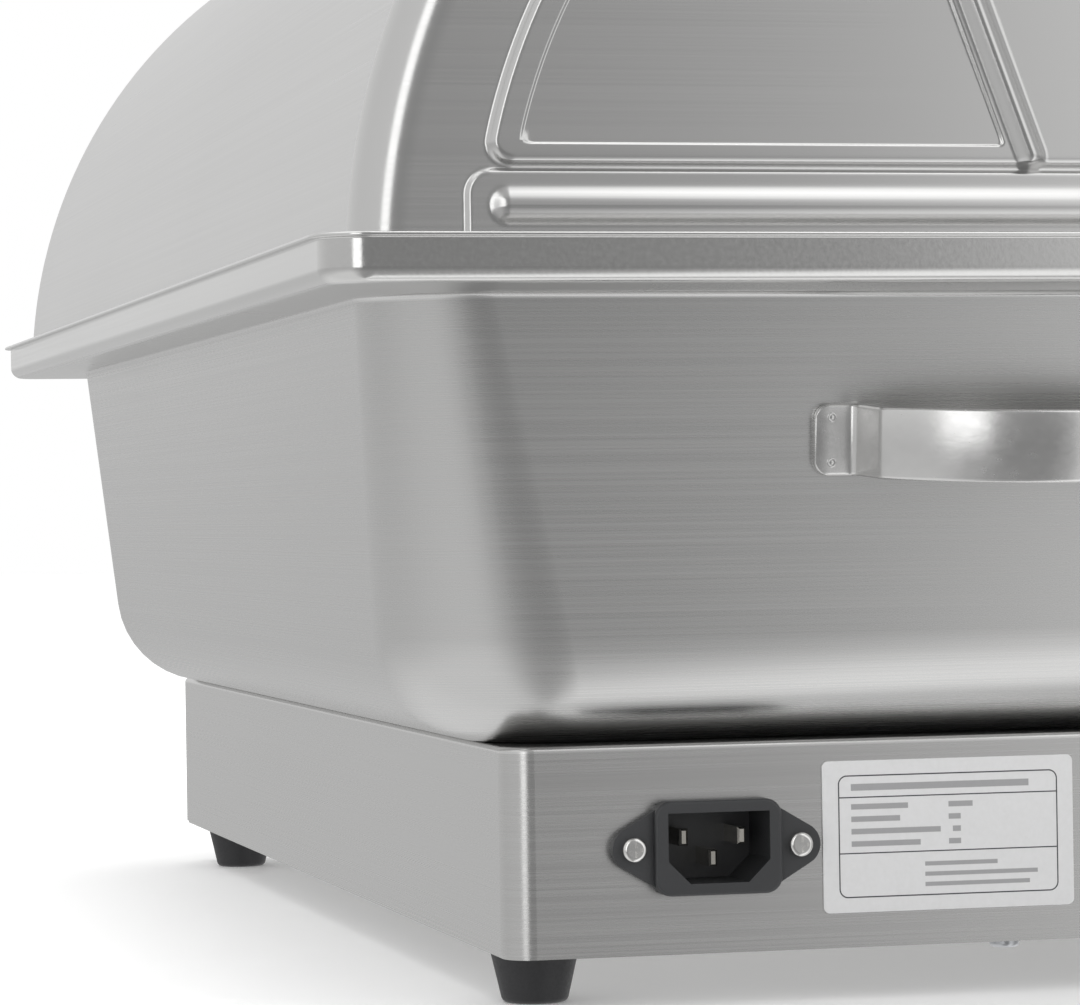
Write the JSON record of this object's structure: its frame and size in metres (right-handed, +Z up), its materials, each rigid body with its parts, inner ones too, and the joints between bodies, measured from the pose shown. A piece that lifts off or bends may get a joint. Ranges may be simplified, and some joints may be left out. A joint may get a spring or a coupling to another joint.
{
  "type": "electric chafing dish",
  "caption": "Countertop food warmer: a stepped-rim water pan with strap handles on a heated base box on rubber feet, holding a lift-out food pan under a lift-off barrel lid.",
  "frame": {"origin": "on the table under the centre of the object", "axes": "+X along the long side, -X at the power inlet end; -Y the user's side with the control knob; +Z up"},
  "size_m": [0.6, 0.354, 0.363],
  "materials": {
    "satin_steel": "fine brushed stainless, satin",
    "zinc_steel": "zinc-plated fasteners",
    "black_rubber": "matt black rubber",
    "inlet_plastic": "fine-grained dark plastic",
    "brass_pins": "nickel-plated brass",
    "polished_steel": "bright pressed stainless",
    "silver_foil": "matt silver foil plate with a dark frame line",
    "drawn_steel": "drawn stainless, soft polish",
    "aluminium_plate": "mill-finish aluminium",
    "element_sheath": "heat-darkened steel sheath",
    "white_ceramic": "glazed terminal ceramic",
    "mineral_wool": "pressed mineral wool",
    "copper_tube": "bare copper capillary",
    "knob_plastic": "black phenolic",
    "amber_lens": "translucent amber",
    "wire_brown": "brown silicone wire",
    "wire_earth": "green-yellow silicone wire",
    "wire_blue": "silicone wire",
    "pointer_white": "white inlay"
  },
  "bodies": {
    "base": {"base_housing": "satin_steel", "bottom_plate": "satin_steel", "bottom_plate_screws": "zinc_steel", "rubber_feet": "black_rubber", "foot_screws": "zinc_steel", "foot_nuts": "zinc_steel", "power_inlet": "inlet_plastic", "inlet_blades": "brass_pins", "inlet_screws": "polished_steel", "inlet_nuts": "zinc_steel", "rating_plate": "silver_foil", "water_pan": "drawn_steel", "side_handle_left": "drawn_steel", "side_handle_right": "drawn_steel", "pan_studs": "zinc_steel", "spreader_plate": "aluminium_plate", "heating_element": "element_sheath", "element_terminals": "white_ceramic", "element_clamp_bars": "zinc_steel", "stud_washers": "zinc_steel", "stud_nuts": "zinc_steel", "thermal_cutout": "white_ceramic", "heat_shield": "aluminium_plate", "shield_screws": "zinc_steel", "insulation_pad": "mineral_wool", "sensor_bulb": "copper_tube", "bulb_clip": "zinc_steel", "capillary_tube": "copper_tube", "thermostat_body": "knob_plastic", "thermostat_screws": "zinc_steel", "dial_bezel": "knob_plastic", "pilot_lamp_lens": "amber_lens", "pilot_lamp_body": "inlet_plastic", "pilot_lamp_clip": "zinc_steel", "terminal_block": "white_ceramic", "terminal_screws": "brass_pins", "terminal_block_screw": "zinc_steel", "earth_stud": "zinc_steel", "earth_nut": "zinc_steel", "supply_wires": "wire_brown", "earth_wire": "wire_earth", "thermostat_wires": "wire_brown", "lamp_wires": "wire_blue", "element_wires": "wire_blue"},
    "food_pan": {"food_pan": "drawn_steel"},
    "lid": {"lid_shell": "satin_steel", "lid_handle": "drawn_steel"},
    "knob": {"control_knob": "knob_plastic", "knob_pointer": "pointer_white", "thermostat_shaft": "zinc_steel"}
  },
  "joints": [
    {"name": "food_pan_lift", "type": "slide", "parent": "base", "child": "food_pan", "axis": [0, 0, 1], "range_m": [0, 0.15]},
    {"name": "lid_lift", "type": "slide", "parent": "food_pan", "child": "lid", "axis": [0, 0, 1], "range_m": [0, 0.2]},
    {"name": "thermostat_turn", "type": "hinge", "parent": "base", "child": "knob", "pos_m": [0.16, -0.124, 0.0379], "axis": [0, 1, 0], "range_deg": [0, 270]}
  ]
}
